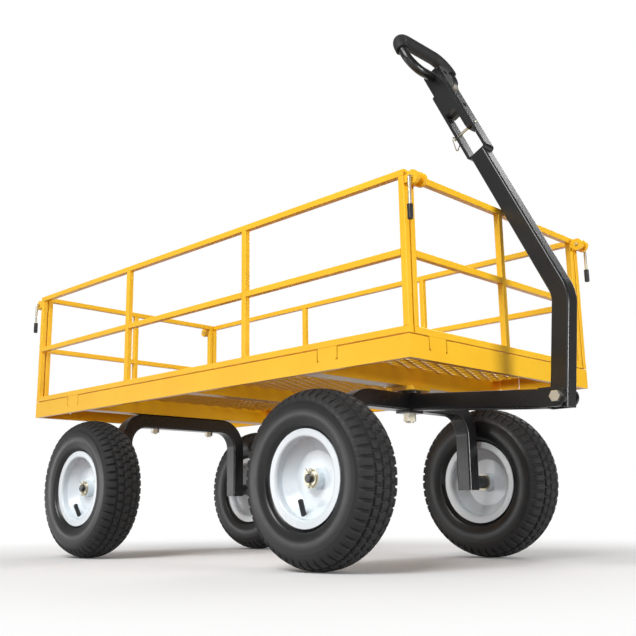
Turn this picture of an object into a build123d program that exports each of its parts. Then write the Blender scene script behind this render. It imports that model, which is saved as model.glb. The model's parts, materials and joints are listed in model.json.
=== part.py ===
"""Hand wagon: steel mesh bed with removable rail sides, four pneumatic wheels and a pull pole."""
import os
from math import cos, hypot, radians, sin, tan

from build123d import *

os.makedirs("parts", exist_ok=True)

# Bed, in millimetres. X runs forward to the pole, Y to the left, and the ground is Z = 0.
bed_length = 1270.0
bed_width = 610.0
tyre_headroom = 26.0
skirt_height = 40.2
skirt_wall = 2.5
skirt_flange = 25.0
skirt_lip = 10.0
deck_gap = 0.4
deck_border = 10.0
mesh_columns = 13
mesh_rows = 8
strand = 6.0

# Channels under the deck
bolster_width = 40.0
bolster_wall = 3.0
bolster_end_gap = 3.0
middle_width = 30.0
middle_height = 29.5
middle_x = -20.0

# Rail sides
rail = 12.7
rail_round = 1.5
panel_gap = 1.8
side_height = 290.0
middle_rail_rise = 142.0
side_post_inset = 423.0
side_tab_inset = 190.0
end_tab_inset = 79.0
tab_width = 48.0
tab_depth = 23.0
tab_plate = 4.0
tab_round = 6.0
tab_gap = 2.0
notch_reach = 8.0
corner_gap = 3.3

# Corner latches
latch_eye = 26.0
latch_eye_length = 8.0
latch_eye_pitch = 20.0
latch_stand = 16.0
latch_foot_width = 14.0
latch_wire = 6.0
latch_drop = 19.0
latch_bend = 5.0
latch_leg = 76.0
latch_grip_d = 10.5
latch_grip_length = 27.0
latch_end_reach = 3.0

# Axles
axle_inset = 245.0
axle_tube = 35.0
axle_wall = 2.5
axle_round = 4.0
axle_bend = 60.0
axle_foot = 18.0
rear_leg_y = 187.0
front_leg_y = 200.0
axle_bolt_y = 90.0
axle_bolt_d = 12.0
axle_bolt_flats = 19.0
axle_bolt_head = 7.5
axle_nut = 10.0
bolt_tail = 3.0

# Kingpin and steering pivot
kingpin_d = 16.0
kingpin_flats = 24.0
kingpin_head = 10.0
kingpin_nut = 16.0
pivot_plate_length = 70.0
pivot_plate_width = 64.0
pivot_plate_height = 8.5
pivot_plate_round = 6.0
thrust_washer_d = 50.0
thrust_washer_height = 5.7
nut_plate_length = 34.0
nut_plate_width = 52.0
nut_plate_height = 4.0
nut_plate_round = 3.0

# Wheels
tyre_leg_gap = 8.5
tyre_d = 330.0
tyre_width = 100.0
tyre_wall = 9.0
tyre_bead = 11.0
tyre_shoulder_width = 84.0
tyre_shoulder_drop = 14.0
rim_seat_d = 152.0
rim_flange_height = 13.5
rim_width = 76.0
rim_sheet = 2.6
rim_seat_width = 15.0
rim_disc_d = 104.0
rim_bend = 4.0
hub_d = 40.0
hub_length = 36.0
bearing_d = 32.0
bearing_length = 12.0
bearing_flange_d = 36.0
bearing_flange = 1.5
spindle_d = 16.0
spindle_collar_d = 29.0
spindle_tail = 5.0
spindle_chamfer = 1.5
washer_d = 30.0
washer_height = 2.5
cotter_wire = 3.0
cotter_length = 26.0
cotter_eye = 4.0
valve_d = 10.0
valve_foot_d = 15.0
valve_foot = 2.5
valve_length = 32.0
valve_seat = 16.2
valve_tilt = 32.0
valve_turn = 19.0

# Tongue, clevis and pole
tongue_tube = 35.0
tongue_wall = 3.0
tongue_drop = 21.0
clevis_wall = 5.5
clevis_radius = 18.0
clevis_back = 36.0
clevis_base = 5.5
pivot_bolt_d = 12.0
pivot_bolt_flats = 19.0
pivot_bolt_head = 8.0
pivot_nut = 10.0
pole_tube = 35.0
pole_wall = 2.5
pole_round = 4.0
pole_bend = 65.0
pole_foot = 18.0
pole_lower_run = 190.0
pole_upper_run = 356.0
pole_lower_lean = 5.4
pole_upper_lean = 26.3
pole_clear = 7.3

# Tow fork, grip stem and grip loop, measured along the upper pole from its end
fork_bar = 6.0
fork_width = 30.0
fork_gap = 37.0
fork_bend = 9.0
fork_end = 20.0
lock_hole = 76.0
hole_pitch = 50.8
tow_hole_d = 11.0
stem_bolt_d = 8.0
stem_bolt_flats = 13.0
stem_bolt_head = 5.0
stem_gap = 0.5
stem_low_gap = 0.7
stem_cap = 14.0
stem_round = 3.0
stem_tongue = 10.0
stem_tongue_end = 12.0
loop_d = 20.0
loop_rise = 2.5
loop_height = 98.0
loop_width = 172.0
loop_corner = 40.0
sleeve_d = 29.0
sleeve_leg = 4.0
lock_pin_d = 6.0
lock_nose_d = 8.0
lock_nose_length = 19.0
lock_pin_front = 2.0
lock_pin_rear = 9.0
ring_wire = 2.5
ring_width = 34.0
ring_drop = 32.0
ring_round = 5.0

# Clearances
fit = 0.05
slip = 0.1
running_gap = 0.3
side_play = 1.5

# Places that follow from the sizes above
tyre_radius = tyre_d / 2
axle_height = tyre_radius
skirt_bottom = tyre_d + tyre_headroom
deck_top = skirt_bottom + skirt_height
deck_bottom = deck_top - skirt_wall
panel_bottom = deck_top + panel_gap
tab_drop = tab_depth + panel_gap
axle_x = bed_length / 2 - axle_inset
wheel_y = front_leg_y + axle_tube / 2 + tyre_leg_gap + tyre_width / 2
side_post_x = bed_length / 2 - side_post_inset
side_tab_x = bed_length / 2 - side_tab_inset
end_tab_y = bed_width / 2 - end_tab_inset
rear_beam_z = skirt_bottom - axle_tube / 2
washer_top = skirt_bottom - pivot_plate_height
front_beam_top = washer_top - thrust_washer_height - running_gap
front_beam_z = front_beam_top - axle_tube / 2
end_panel_half = bed_width / 2 - rail - corner_gap
latch_x = bed_length / 2 + latch_stand
latch_rise = side_height - latch_drop
latch_z = panel_bottom + latch_rise
pivot_z = front_beam_z - tongue_drop

# The pole parks just clear of the front top rail, which sets how far ahead its bolt stands
rail_top = panel_bottom + side_height
pole_bend_z = pivot_z + pole_lower_run * cos(radians(pole_lower_lean))
pole_half_back = pole_tube / 2 / cos(radians(pole_upper_lean))
pole_back = (rail_top - pole_bend_z) * tan(radians(pole_upper_lean)) + pole_half_back
pivot_x = bed_length / 2 + pole_clear + pole_back - pole_lower_run * sin(radians(pole_lower_lean))
tangent = pole_bend * tan(radians((pole_lower_lean + pole_upper_lean) / 2))
lean_reach = (pole_lower_run - tangent) * sin(radians(pole_lower_lean))
bend_reach = pole_bend * (1 - cos(radians(pole_lower_lean)))
front_reach = pivot_x + lean_reach + bend_reach + pole_tube / 2
rear_reach = latch_x + latch_eye / 2

# The origin lies on the ground under the middle of the whole wagon, so the bed stands behind it
bed_x = (rear_reach - front_reach) / 2
front_x = bed_x + axle_x
rear_x = bed_x - axle_x
corners = {
    "front_right": (1, -1),
    "front_left": (1, 1),
    "rear_right": (-1, -1),
    "rear_left": (-1, 1),
}


def save(shape, name):
    """Label a finished piece and write it to its own file."""
    shape.label = name
    export_step(shape, f"parts/{name}.step")


def group(solids):
    """Keep several separate solids together in one node."""
    return Compound(children=solids)


def on_bed(x, y, z, turn=0.0):
    """A place on the bed, with a turn about the vertical."""
    return Location((bed_x + x, y, z), (0, 0, turn))


def bar(plane, length):
    """A square rail along a plane's normal, with rounded long edges."""
    with BuildPart() as piece:
        with BuildSketch(plane):
            RectangleRounded(rail, rail, rail_round)
        extrude(amount=length)
    return piece.part


def ring_plate(plane, outer_d, bore_d, height):
    """A round washer along a plane's normal."""
    with BuildPart() as piece:
        with BuildSketch(plane):
            Circle(outer_d / 2)
            Circle(bore_d / 2 + fit, mode=Mode.SUBTRACT)
        extrude(amount=height)
    return piece.part


def hex_bolt(plane, shank_d, shank_length, flats, head):
    """A hexagon bolt whose shank runs along the plane's normal from under its head."""
    with BuildPart() as piece:
        with BuildSketch(plane):
            RegularPolygon(flats / 2, 6, major_radius=False)
        extrude(amount=-head)
        with BuildSketch(plane):
            Circle(shank_d / 2)
        extrude(amount=shank_length)
    return piece.part


def hex_nut(plane, bore_d, flats, height):
    """A hexagon nut along the plane's normal."""
    with BuildPart() as piece:
        with BuildSketch(plane):
            RegularPolygon(flats / 2, 6, major_radius=False)
            Circle(bore_d / 2 + fit, mode=Mode.SUBTRACT)
        extrude(amount=height)
    return piece.part


# Skirt rails: pressed channels with a wide top flange, a short bottom lip and notches for the tabs


def skirt_rail(length, tab_places):
    with BuildPart() as piece:
        with BuildSketch(Plane.YZ):
            with BuildLine():
                Polyline(
                    (0, 0),
                    (skirt_lip, 0),
                    (skirt_lip, skirt_wall),
                    (skirt_wall, skirt_wall),
                    (skirt_wall, skirt_height - skirt_wall),
                    (skirt_flange, skirt_height - skirt_wall),
                    (skirt_flange, skirt_height),
                    (0, skirt_height),
                    close=True,
                )
            make_face()
        extrude(amount=length / 2, both=True)
        with Locations(*[(place, 0, skirt_height) for place in tab_places]):
            Box(
                tab_width + 2 * tab_gap,
                2 * notch_reach,
                2 * tab_depth,
                mode=Mode.SUBTRACT,
            )
    return piece.part


side_skirt = skirt_rail(bed_length, (-side_tab_x, side_tab_x))
end_skirt_length = bed_width - 2 * skirt_wall
with BuildPart() as end_skirt:
    add(skirt_rail(end_skirt_length, (-end_tab_y, end_tab_y)))
    with Locations((end_skirt_length / 2, 0, skirt_height), (-end_skirt_length / 2, 0, skirt_height)):
        Box(2 * (skirt_flange - skirt_wall), 3 * skirt_flange, 2 * skirt_wall, mode=Mode.SUBTRACT)
    with Locations((end_skirt_length / 2, 0, 0), (-end_skirt_length / 2, 0, 0)):
        Box(2 * (skirt_lip - skirt_wall), 3 * skirt_flange, 2 * skirt_wall, mode=Mode.SUBTRACT)
save(side_skirt.moved(on_bed(0, -bed_width / 2, skirt_bottom)), "right_skirt")
save(side_skirt.moved(on_bed(0, bed_width / 2, skirt_bottom, 180)), "left_skirt")
save(end_skirt.part.moved(on_bed(bed_length / 2, 0, skirt_bottom, 90)), "front_skirt")
save(end_skirt.part.moved(on_bed(-bed_length / 2, 0, skirt_bottom, -90)), "rear_skirt")

# Deck of expanded metal: two staggered grids of diamonds, so that the strands cross

deck_length = bed_length - 2 * skirt_flange - 2 * deck_gap
deck_width = bed_width - 2 * skirt_flange - 2 * deck_gap
mesh_pitch_x = (deck_length - 2 * deck_border) / mesh_columns
mesh_pitch_y = (deck_width - 2 * deck_border) / mesh_rows
diamond_scale = 1 - strand * hypot(mesh_pitch_x, mesh_pitch_y) / (mesh_pitch_x * mesh_pitch_y)
diamond_x = mesh_pitch_x / 2 * diamond_scale
diamond_y = mesh_pitch_y / 2 * diamond_scale

with BuildPart() as deck_mesh:
    with BuildSketch(Plane((bed_x, 0, deck_bottom))):
        Rectangle(deck_length, deck_width)
        with GridLocations(mesh_pitch_x, mesh_pitch_y, mesh_columns, mesh_rows):
            Polygon((diamond_x, 0), (0, diamond_y), (-diamond_x, 0), (0, -diamond_y), mode=Mode.SUBTRACT)
        with GridLocations(mesh_pitch_x, mesh_pitch_y, mesh_columns - 1, mesh_rows - 1):
            Polygon((diamond_x, 0), (0, diamond_y), (-diamond_x, 0), (0, -diamond_y), mode=Mode.SUBTRACT)
    extrude(amount=skirt_wall)
save(deck_mesh.part, "deck_mesh")

# Channels across the bed, open upward, between the side skirts' lips

member_length = bed_width - 2 * skirt_lip - 2 * bolster_end_gap


def channel(x, width, bottom, hole_places, hole_d):
    height = deck_bottom - bottom
    with BuildPart() as piece:
        with BuildSketch(Plane((bed_x + x, 0, bottom), (1, 0, 0), (0, -1, 0))):
            with BuildLine():
                Polyline(
                    (-width / 2, 0),
                    (width / 2, 0),
                    (width / 2, height),
                    (width / 2 - bolster_wall, height),
                    (width / 2 - bolster_wall, bolster_wall),
                    (-width / 2 + bolster_wall, bolster_wall),
                    (-width / 2 + bolster_wall, height),
                    (-width / 2, height),
                    close=True,
                )
            make_face()
        extrude(amount=member_length / 2, both=True)
        if hole_places:
            with Locations(*[(bed_x + x, y, bottom) for y in hole_places]):
                Cylinder(hole_d / 2 + fit, 4 * bolster_wall, mode=Mode.SUBTRACT)
    return piece.part


save(channel(axle_x, bolster_width, skirt_bottom, (0,), kingpin_d), "front_bolster")
save(channel(middle_x, middle_width, deck_bottom - middle_height, (), 0), "middle_member")
save(channel(-axle_x, bolster_width, skirt_bottom, (-axle_bolt_y, axle_bolt_y), axle_bolt_d), "rear_bolster")

# Rail sides: square tubes welded flush, tabs that stand on the floors of the skirt notches, and latch eyes


def panel_tab(place):
    with BuildPart() as piece:
        with BuildSketch(Plane((place, 0, -tab_drop / 2), (1, 0, 0), (0, 1, 0))):
            Rectangle(tab_width, tab_drop)
        extrude(amount=tab_plate)
        fillet(piece.edges().filter_by(Axis.Y).group_by(Axis.Z)[0], tab_round)
    return piece.part


def panel_frame(half, posts, tabs):
    """A panel along X with its outer face on Y = 0 and its lower rail on Z = 0."""
    middle = rail / 2
    solids = []
    for low in (0, side_height - rail):
        solids.append(bar(Plane((-half, middle, low + middle), (0, 1, 0), (1, 0, 0)), 2 * half))
    uprights = [-half + middle, *posts, half - middle]
    for place in uprights:
        solids.append(bar(Plane((place, middle, rail)), side_height - 2 * rail))
    for left, right in zip(uprights, uprights[1:]):
        start = (left + middle, middle, middle_rail_rise)
        solids.append(bar(Plane(start, (0, 1, 0), (1, 0, 0)), right - left - rail))
    for place in tabs:
        solids.append(panel_tab(place))
    return solids


def latch_eye_on(plane):
    """A round eye about the plane's normal, on a short foot that starts at the plane's local X = 0."""
    with BuildPart() as piece:
        with BuildSketch(plane):
            with Locations((latch_stand, 0)):
                Circle(latch_eye / 2)
            with Locations((latch_stand / 2, 0)):
                Rectangle(latch_stand, latch_foot_width)
            with Locations((latch_stand, 0)):
                Circle(latch_wire / 2 + slip, mode=Mode.SUBTRACT)
        extrude(amount=latch_eye_length / 2, both=True)
    return piece.part


side_frame = panel_frame(bed_length / 2, (-side_post_x, side_post_x), (-side_tab_x, side_tab_x))
for end in (-1, 1):
    eye_plane = Plane((end * bed_length / 2, rail / 2, latch_rise), (end, 0, 0), (0, 1, 0))
    side_frame.append(latch_eye_on(eye_plane))
save(group([s.moved(on_bed(0, -bed_width / 2, panel_bottom)) for s in side_frame]), "right_panel")
save(group([s.moved(on_bed(0, bed_width / 2, panel_bottom, 180)) for s in side_frame]), "left_panel")

inner_eye_y = bed_width / 2 - rail / 2 - latch_eye_pitch
end_frame = panel_frame(end_panel_half, (0,), (-end_tab_y, end_tab_y))
for side in (-1, 1):
    eye_plane = Plane((side * inner_eye_y, 0, latch_rise), (0, -1, 0), (-side, 0, 0))
    end_frame.append(latch_eye_on(eye_plane))
save(group([s.moved(on_bed(bed_length / 2, 0, panel_bottom, 90)) for s in end_frame]), "front_panel")
save(group([s.moved(on_bed(-bed_length / 2, 0, panel_bottom, -90)) for s in end_frame]), "rear_panel")

# Corner latches: a bent wire through both eyes, with its leg and soft grip hanging outside

latch_inner = inner_eye_y - latch_eye_length / 2 - latch_end_reach
latch_outer = bed_width / 2 + latch_bend + slip
latch_foot = latch_z - latch_leg
for corner, (end, side) in corners.items():
    wire_x = bed_x + end * latch_x
    with BuildPart() as latch_pin:
        with BuildLine() as wire_path:
            FilletPolyline(
                (wire_x, side * latch_inner, latch_z),
                (wire_x, side * latch_outer, latch_z),
                (wire_x, side * latch_outer, latch_foot),
                radius=latch_bend,
            )
        with BuildSketch(Plane(wire_path.line @ 0, z_dir=wire_path.line % 0)):
            Circle(latch_wire / 2)
        sweep()
    save(latch_pin.part, f"{corner}_latch_pin")
    with BuildPart() as latch_grip:
        with BuildSketch(Plane((wire_x, side * latch_outer, latch_foot - latch_wire / 2))):
            Circle(latch_grip_d / 2)
        extrude(amount=latch_grip_length)
        fillet(latch_grip.edges().group_by(Axis.Z)[0], latch_grip_d / 4)
        with BuildSketch(Plane((wire_x, side * latch_outer, latch_foot))):
            Circle(latch_wire / 2 + fit)
        extrude(amount=latch_grip_length, mode=Mode.SUBTRACT)
    save(latch_grip.part, f"{corner}_latch_grip")

# Axles: a square bar bent into an arch, with a spindle let into the foot of each leg


def axle_arch(x, beam_z, leg_y, hole_places, hole_d):
    foot_z = axle_height - axle_foot
    with BuildPart() as piece:
        with BuildLine() as path:
            FilletPolyline(
                (x, -leg_y, foot_z),
                (x, -leg_y, beam_z),
                (x, leg_y, beam_z),
                (x, leg_y, foot_z),
                radius=axle_bend,
            )
        with BuildSketch(Plane(path.line @ 0, (1, 0, 0), path.line % 0)):
            RectangleRounded(axle_tube, axle_tube, axle_round)
        sweep()
        outer_face = leg_y + axle_tube / 2
        bore_length = 2 * (axle_tube - axle_wall)
        with Locations((x, -outer_face, axle_height), (x, outer_face, axle_height)):
            Cylinder(spindle_d / 2 + fit, bore_length, rotation=(90, 0, 0), mode=Mode.SUBTRACT)
        with Locations(*[(x, y, beam_z) for y in hole_places]):
            Cylinder(hole_d / 2 + fit, 2 * axle_tube, mode=Mode.SUBTRACT)
    return piece.part


save(axle_arch(rear_x, rear_beam_z, rear_leg_y, (-axle_bolt_y, axle_bolt_y), axle_bolt_d), "rear_axle")
save(axle_arch(front_x, front_beam_z, front_leg_y, (0,), kingpin_d), "front_axle")

# Spindles: a rod through the leg with a shoulder up to the wheel hub, then a washer and a split pin

hub_half = hub_length / 2
collar_end = wheel_y - hub_half - bearing_flange - running_gap
washer_start = wheel_y + hub_half + bearing_flange + running_gap
cotter_y = washer_start + washer_height + running_gap + cotter_wire / 2
spindle_end = cotter_y + spindle_tail


def outward(x, side, y):
    """A plane across the axle line that faces away from the wagon's middle."""
    return Plane((x, side * y, axle_height), (1, 0, 0), (0, side, 0))


def spindle(x, side, leg_y):
    root = leg_y - axle_tube / 2 + axle_wall
    shoulder = leg_y + axle_tube / 2
    with BuildPart() as piece:
        with BuildSketch(outward(x, side, root)):
            Circle(spindle_d / 2)
        extrude(amount=spindle_end - root)
        chamfer(piece.faces().sort_by(Axis.Y)[-1 if side > 0 else 0].edges(), spindle_chamfer)
        with BuildSketch(outward(x, side, shoulder)):
            Circle(spindle_collar_d / 2)
        extrude(amount=collar_end - shoulder)
        with Locations((x, side * cotter_y, axle_height)):
            Cylinder(cotter_wire / 2 + fit, 2 * spindle_d, mode=Mode.SUBTRACT)
    return piece.part


def cotter_pin(x, side):
    """A split pin as one wire, with its eye below the spindle."""
    eye_z = axle_height - spindle_d / 2 - cotter_eye - cotter_wire / 2
    with BuildPart() as piece:
        with Locations((x, side * cotter_y, eye_z + cotter_eye + cotter_length / 2)):
            Cylinder(cotter_wire / 2, cotter_length)
        with Locations((x, side * cotter_y, eye_z)):
            Torus(cotter_eye, cotter_wire / 2, rotation=(90, 0, 0))
    return piece.part


for name, x, leg_y in (("front", front_x, front_leg_y), ("rear", rear_x, rear_leg_y)):
    save(group([spindle(x, side, leg_y) for side in (-1, 1)]), f"{name}_spindles")
    washers = []
    for side in (-1, 1):
        washers.append(ring_plate(outward(x, side, washer_start), washer_d, spindle_d, washer_height))
    save(group(washers), f"{name}_wheel_washers")
    save(group([cotter_pin(x, side) for side in (-1, 1)]), f"{name}_cotter_pins")

# Rear axle bolts: heads inside the channel and nuts under the beam

axle_bolts = []
for y in (-axle_bolt_y, axle_bolt_y):
    head_plane = Plane((rear_x, y, skirt_bottom + bolster_wall), (1, 0, 0), (0, 0, -1))
    clamp = bolster_wall + axle_tube
    axle_bolts.append(
        hex_bolt(head_plane, axle_bolt_d, clamp + axle_nut + bolt_tail, axle_bolt_flats, axle_bolt_head)
    )
    axle_bolts.append(hex_nut(head_plane.offset(clamp), axle_bolt_d, axle_bolt_flats, axle_nut))
save(group(axle_bolts), "rear_axle_bolts")

# Steering pivot: a plate under the front channel, a thrust washer, and the kingpin with its nut's plate

with BuildPart() as pivot_plate:
    with BuildSketch(Plane((front_x, 0, washer_top))):
        RectangleRounded(pivot_plate_length, pivot_plate_width, pivot_plate_round)
        Circle(kingpin_d / 2 + fit, mode=Mode.SUBTRACT)
    extrude(amount=pivot_plate_height)
save(pivot_plate.part, "pivot_plate")

washer_plane = Plane((front_x, 0, washer_top - thrust_washer_height))
save(ring_plate(washer_plane, thrust_washer_d, kingpin_d, thrust_washer_height), "thrust_washer")

nut_plate_top = front_beam_z - axle_tube / 2 - running_gap
nut_top = nut_plate_top - nut_plate_height
with BuildPart() as nut_plate:
    with BuildSketch(Plane((front_x, 0, nut_top))):
        RectangleRounded(nut_plate_length, nut_plate_width, nut_plate_round)
        Circle(kingpin_d / 2 + fit, mode=Mode.SUBTRACT)
    extrude(amount=nut_plate_height)
save(nut_plate.part, "kingpin_plate")
kingpin_plane = Plane((front_x, 0, skirt_bottom + bolster_wall), (1, 0, 0), (0, 0, -1))
kingpin_clamp = skirt_bottom + bolster_wall - nut_top
kingpin_length = kingpin_clamp + kingpin_nut + bolt_tail
save(
    group(
        [
            hex_bolt(kingpin_plane, kingpin_d, kingpin_length, kingpin_flats, kingpin_head),
            hex_nut(kingpin_plane.offset(kingpin_clamp), kingpin_d, kingpin_flats, kingpin_nut),
        ]
    ),
    "kingpin",
)

# Wheels, built about the Y axis with the outer side on -Y: tyre, two-half rim on its hub,
# two flanged bearings and a valve stem

rim_half = rim_width / 2
flange_r = rim_seat_d / 2 + rim_flange_height
bead_r = rim_seat_d / 2 + running_gap
bead_outer = rim_half - rim_sheet - running_gap
bead_inner = bead_outer - tyre_bead
shoulder_a = tyre_shoulder_width / 2
shoulder_r = tyre_radius - tyre_shoulder_drop
belly_a = tyre_width / 2
belly_r = (flange_r + shoulder_r) / 2

with BuildPart() as tyre:
    with BuildSketch(Plane.YZ) as section:
        with BuildLine():
            Line((-bead_outer, flange_r), (-bead_outer, bead_r + rim_bend))
            Line((-bead_outer, bead_r + rim_bend), (-bead_outer + rim_bend, bead_r))
            Line((-bead_outer + rim_bend, bead_r), (-bead_inner, bead_r))
            Line((-bead_inner, bead_r), (-bead_inner, flange_r))
            ThreePointArc(
                (-bead_inner, flange_r),
                (-belly_a + tyre_wall, belly_r),
                (-shoulder_a + tyre_wall, shoulder_r - tyre_wall),
            )
            ThreePointArc(
                (-shoulder_a + tyre_wall, shoulder_r - tyre_wall),
                (0, tyre_radius - tyre_shoulder_drop),
                (shoulder_a - tyre_wall, shoulder_r - tyre_wall),
            )
            ThreePointArc(
                (shoulder_a - tyre_wall, shoulder_r - tyre_wall),
                (belly_a - tyre_wall, belly_r),
                (bead_inner, flange_r),
            )
            Line((bead_inner, flange_r), (bead_inner, bead_r))
            Line((bead_inner, bead_r), (bead_outer - rim_bend, bead_r))
            Line((bead_outer - rim_bend, bead_r), (bead_outer, bead_r + rim_bend))
            Line((bead_outer, bead_r + rim_bend), (bead_outer, flange_r))
            ThreePointArc((bead_outer, flange_r), (belly_a, belly_r), (shoulder_a, shoulder_r))
            ThreePointArc((shoulder_a, shoulder_r), (0, tyre_radius), (-shoulder_a, shoulder_r))
            ThreePointArc((-shoulder_a, shoulder_r), (-belly_a, belly_r), (-bead_outer, flange_r))
        make_face()
    revolve(axis=Axis.Y)

sheet_half = rim_sheet / 2
seat_line = rim_seat_d / 2 - sheet_half
flange_line = rim_half - sheet_half
seat_inner = flange_line - rim_seat_width
disc_line = rim_disc_d / 2
hub_r = hub_d / 2
hub_bore = bearing_d / 2 + fit
hub_middle = (hub_r + hub_bore) / 2

# The valve leans out of the sloping wall of the outer rim half, a little behind the lowest point,
# and its foot lies far enough behind the wall to clear the slope
wall_slope = (seat_line - disc_line) / (seat_inner - sheet_half)
valve_radius = disc_line + (valve_seat - sheet_half) * wall_slope
valve_dir = (0, -sin(radians(valve_tilt)), cos(radians(valve_tilt)))
valve_plane = Plane((0, -valve_seat, -valve_radius), (1, 0, 0), valve_dir)
valve_sink = valve_foot_d / 4

with BuildPart() as rim:
    with BuildSketch(Plane.YZ):
        for half in (-1, 1):
            with BuildLine() as rim_line:
                FilletPolyline(
                    (half * flange_line, flange_r),
                    (half * flange_line, seat_line),
                    (half * seat_inner, seat_line),
                    (half * sheet_half, disc_line),
                    (half * sheet_half, hub_middle),
                    radius=rim_bend,
                )
            trace(line_width=rim_sheet)
        with Locations((0, hub_middle)):
            Rectangle(hub_length, hub_r - hub_bore)
    revolve(axis=Axis.Y)
    with BuildSketch(valve_plane):
        Circle(valve_d / 2 + slip)
    extrude(amount=valve_sink, both=True, mode=Mode.SUBTRACT)

with BuildPart() as valve:
    with BuildSketch(valve_plane.offset(-valve_sink - valve_foot)):
        Circle(valve_foot_d / 2)
    extrude(amount=valve_foot)
    with BuildSketch(valve_plane.offset(-valve_sink)):
        Circle(valve_d / 2)
    extrude(amount=valve_sink + valve_length)


def bearing(side):
    """A flanged bearing with its flange on a hub face and its body inside the hub."""
    with BuildPart() as piece:
        with BuildSketch(Plane((0, side * hub_half, 0), (1, 0, 0), (0, side, 0))):
            Circle(bearing_flange_d / 2)
        extrude(amount=bearing_flange)
        with BuildSketch(Plane((0, side * hub_half, 0), (1, 0, 0), (0, -side, 0))):
            Circle(bearing_d / 2)
        extrude(amount=bearing_length)
        Cylinder(spindle_d / 2 + fit, 2 * hub_length, rotation=(90, 0, 0), mode=Mode.SUBTRACT)
    return piece.part


bearings = [bearing(-1), bearing(1)]
turn_back = Location((0, 0, 0), (0, valve_turn, 0))
for corner, (end, side) in corners.items():
    place = Location((bed_x + end * axle_x, side * wheel_y, axle_height), (0, 0, 0 if side < 0 else 180))
    save(tyre.part.moved(place), f"{corner}_tyre")
    save(rim.part.moved(place * turn_back), f"{corner}_rim")
    save(group([b.moved(place) for b in bearings]), f"{corner}_bearings")
    save(valve.part.moved(place * turn_back), f"{corner}_valve")

# Tongue: a square tube that slopes from the axle beam down to the clevis

tongue_back = front_x + axle_tube / 2
tongue_front = bed_x + pivot_x - clevis_back
tongue_half = tongue_tube / 2


def tongue_block(half):
    """A square bar along the sloping tongue line, with upright ends."""
    with BuildPart() as piece:
        with BuildSketch(Plane.XZ):
            with BuildLine():
                Polyline(
                    (tongue_back, front_beam_z - half),
                    (tongue_front, pivot_z - half),
                    (tongue_front, pivot_z + half),
                    (tongue_back, front_beam_z + half),
                    close=True,
                )
            make_face()
        extrude(amount=half, both=True)
    return piece.part


with BuildPart() as tongue:
    add(tongue_block(tongue_half))
    fillet(tongue.edges().sort_by(SortBy.LENGTH)[-4:], axle_round)
    add(tongue_block(tongue_half - tongue_wall), mode=Mode.SUBTRACT)
save(tongue.part, "tongue")

# Clevis at the tongue's end, and the bolt that the pole swings on

clevis_half = pole_tube / 2 + side_play
clevis_outer = clevis_half + clevis_wall
pivot_point = Vector(bed_x + pivot_x, 0, pivot_z)
with BuildPart() as clevis:
    with BuildSketch(Plane(pivot_point, (1, 0, 0), (0, -1, 0))):
        Circle(clevis_radius)
        with Locations((-clevis_back / 2, 0)):
            Rectangle(clevis_back, 2 * clevis_radius)
    extrude(amount=clevis_outer, both=True)
    with Locations((tongue_front + clevis_base + 2 * clevis_back, 0, pivot_z)):
        Box(4 * clevis_back, 2 * clevis_half, 3 * clevis_radius, mode=Mode.SUBTRACT)
    with Locations(pivot_point):
        Cylinder(pivot_bolt_d / 2 + fit, 4 * clevis_outer, rotation=(90, 0, 0), mode=Mode.SUBTRACT)
save(clevis.part, "clevis")

pivot_plane = Plane((bed_x + pivot_x, -clevis_outer, pivot_z), (1, 0, 0), (0, 1, 0))
pivot_bolt_length = 2 * clevis_outer + pivot_nut + bolt_tail
save(
    group(
        [
            hex_bolt(pivot_plane, pivot_bolt_d, pivot_bolt_length, pivot_bolt_flats, pivot_bolt_head),
            hex_nut(pivot_plane.offset(2 * clevis_outer), pivot_bolt_d, pivot_bolt_flats, pivot_nut),
        ]
    ),
    "pole_bolt",
)

# Pole: a square tube that leans forward from its bolt, then bends back over the bed

lower_dir = Vector(sin(radians(pole_lower_lean)), 0, cos(radians(pole_lower_lean)))
upper_dir = Vector(-sin(radians(pole_upper_lean)), 0, cos(radians(pole_upper_lean)))
front_dir = Vector(cos(radians(pole_upper_lean)), 0, sin(radians(pole_upper_lean)))
left_dir = Vector(0, 1, 0)
pole_start = pivot_point - lower_dir * pole_foot
pole_corner = pivot_point + lower_dir * pole_lower_run
pole_end = pole_corner + upper_dir * pole_upper_run

with BuildPart() as pole:
    with BuildLine() as pole_path:
        FilletPolyline(pole_start, pole_corner, pole_end, radius=pole_bend)
    with BuildSketch(Plane(pole_path.line @ 0, left_dir, pole_path.line % 0)):
        RectangleRounded(pole_tube, pole_tube, pole_round)
        Rectangle(pole_tube - 2 * pole_wall, pole_tube - 2 * pole_wall, mode=Mode.SUBTRACT)
    sweep()
    with Locations(pivot_point):
        Cylinder(pivot_bolt_d / 2 + fit, 2 * pole_tube, rotation=(90, 0, 0), mode=Mode.SUBTRACT)
save(pole.part, "pole")

# Convertible head. In the side plane, local X is the pole's front and local Y runs along the pole;
# in the front plane, local X is the wagon's left and local Y runs along the pole.

side_plane = Plane(pole_end, front_dir, -left_dir)
front_plane = Plane(pole_end, left_dir, front_dir)
index_hole = lock_hole + hole_pitch
stem_hole = lock_hole + 2 * hole_pitch
tow_hole = lock_hole + 3 * hole_pitch
fork_rear_leg = stem_hole + fork_end
fork_front_leg = tow_hole + fork_end
stem_side = fork_gap - 2 * stem_gap
stem_start = index_hole + stem_low_gap
loop_low = tow_hole + loop_rise
loop_high = loop_low + loop_height
stem_end = loop_low + stem_cap
fork_half = fork_gap / 2
fork_outer = fork_half + fork_bar


def along_pole(edge):
    """How far an edge's middle lies beyond the pole's end."""
    return (edge.center() - pole_end).dot(upper_dir)


def bar_ends(part, reach):
    """The two edges at the corners of a flat bar's end, as far along the pole as the reach."""
    across = part.edges().filter_by(Axis(pole_end, front_dir))
    return [edge for edge in across if abs(along_pole(edge) - reach) < fit]


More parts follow.
